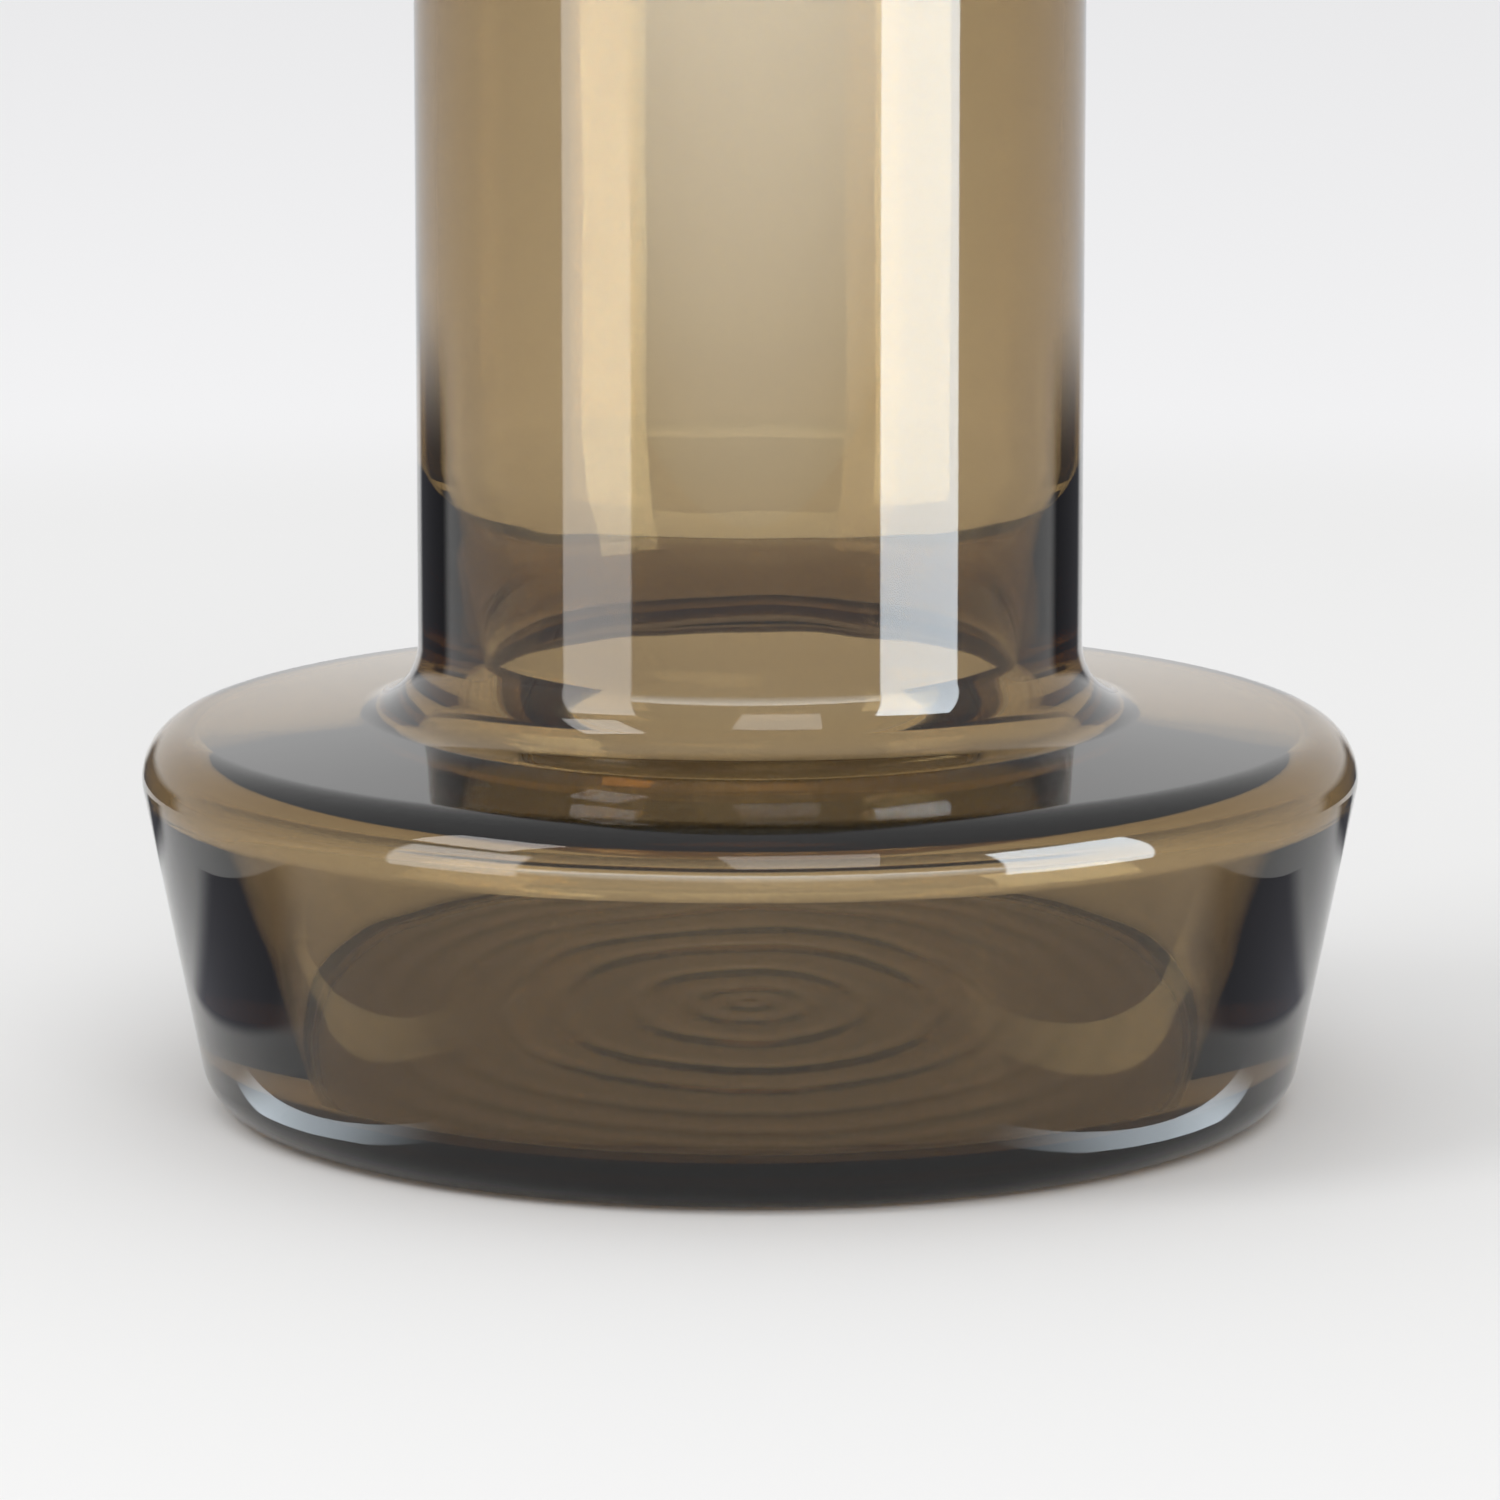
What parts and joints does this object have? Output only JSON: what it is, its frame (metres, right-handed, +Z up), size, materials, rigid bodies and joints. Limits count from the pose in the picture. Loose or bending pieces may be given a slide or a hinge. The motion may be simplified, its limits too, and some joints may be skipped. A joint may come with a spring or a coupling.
{
  "type": "glass vase",
  "caption": "Smoke-brown glass vase: a straight cylindrical neck opens into a low, wide, round base that narrows to a flat foot.",
  "frame": {"origin": "centre of the foot, on the surface that the vase stands on", "axes": "+Z up along the vase's own axis and out of its mouth; X and Y are any two level directions, because the vase is round"},
  "size_m": [0.154, 0.154, 0.25],
  "materials": {
    "clear_glass": "fire-polished, faintly smoky",
    "tinted_glass": "fire-polished, smoke-brown"
  },
  "bodies": {
    "root": {"clear_outer_casing": "clear_glass", "tinted_inner_layer": "tinted_glass"}
  },
  "joints": []
}
